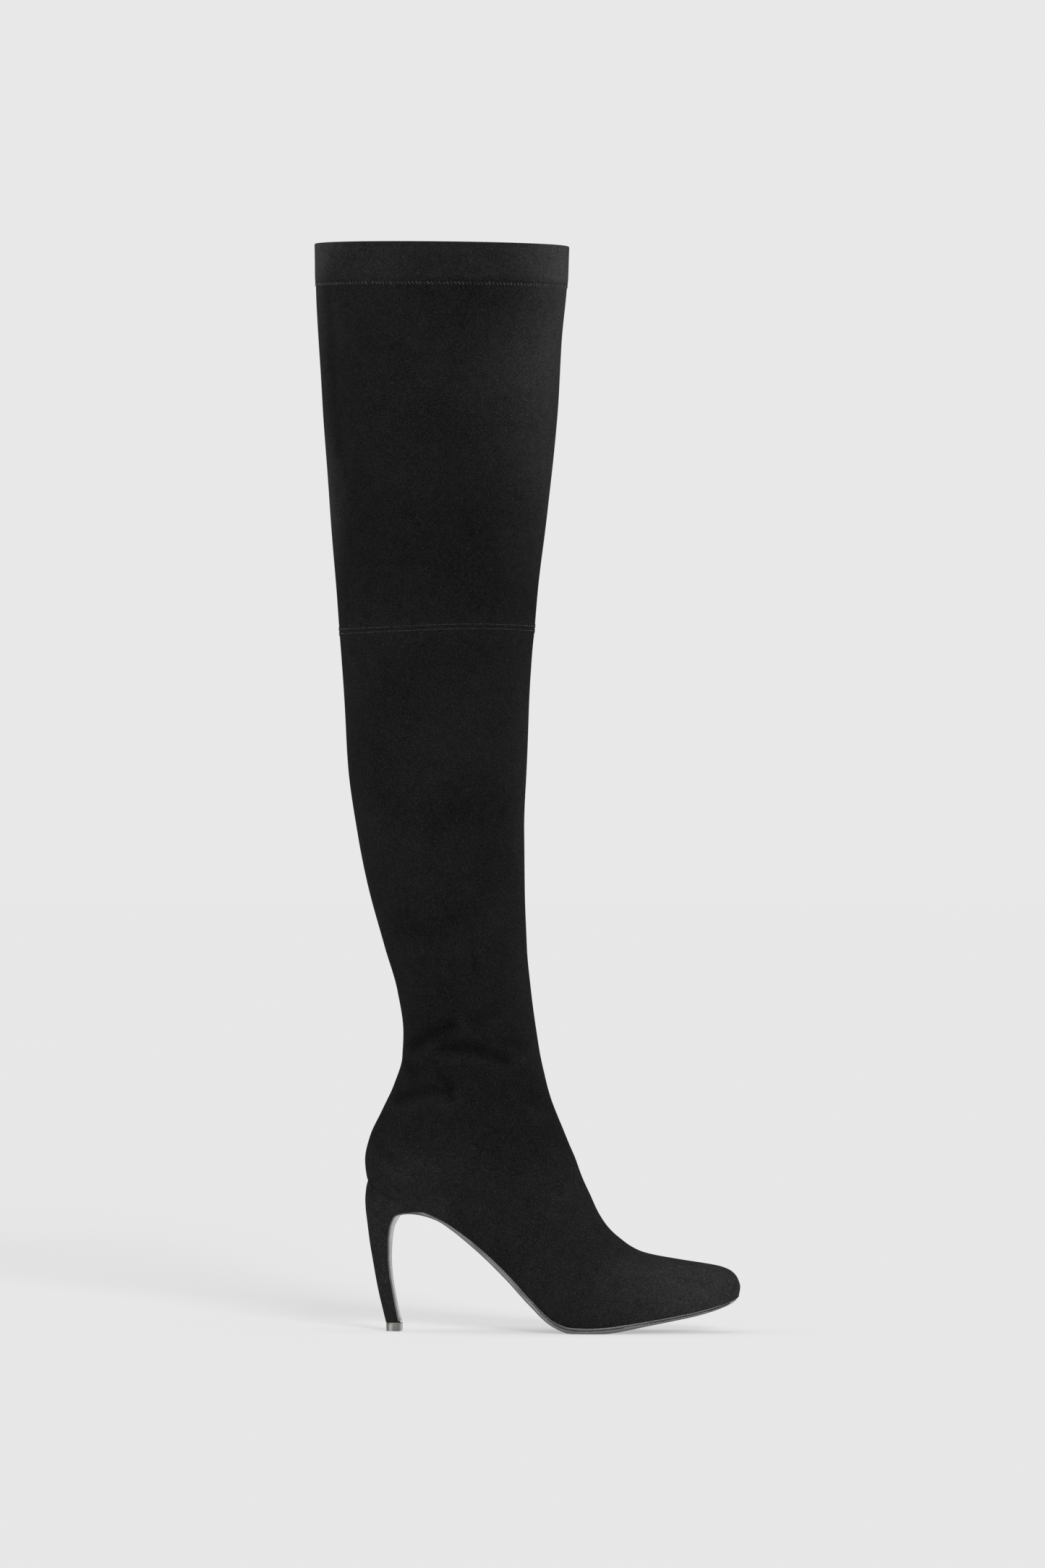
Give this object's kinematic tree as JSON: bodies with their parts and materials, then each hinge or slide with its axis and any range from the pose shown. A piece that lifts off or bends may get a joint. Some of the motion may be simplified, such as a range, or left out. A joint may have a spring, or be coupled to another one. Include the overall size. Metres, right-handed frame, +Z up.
{
  "type": "thigh high boot",
  "caption": "Pull-on thigh-high boot for the right foot in black stretch suede, with a narrow squared toe, thin leather sole and curved stiletto heel.",
  "frame": {"origin": "middle of the bounding box, at floor level", "axes": "+X from heel to toe, +Y towards the medial side (the wearer's left on this right boot), +Z up the leg"},
  "size_m": [0.2658, 0.1326, 0.677],
  "materials": {
    "suede": "napped black stretch suede",
    "sole_leather": "polished black leather",
    "insole_leather": "smooth black lining leather",
    "heel_suede": "black suede wrapped over the heel block",
    "tip_metal": "brushed silver-grey metal"
  },
  "bodies": {
    "root": {"upper": "suede", "outsole": "sole_leather", "insole": "insole_leather", "heel": "heel_suede", "heel_tip": "tip_metal"}
  },
  "joints": []
}
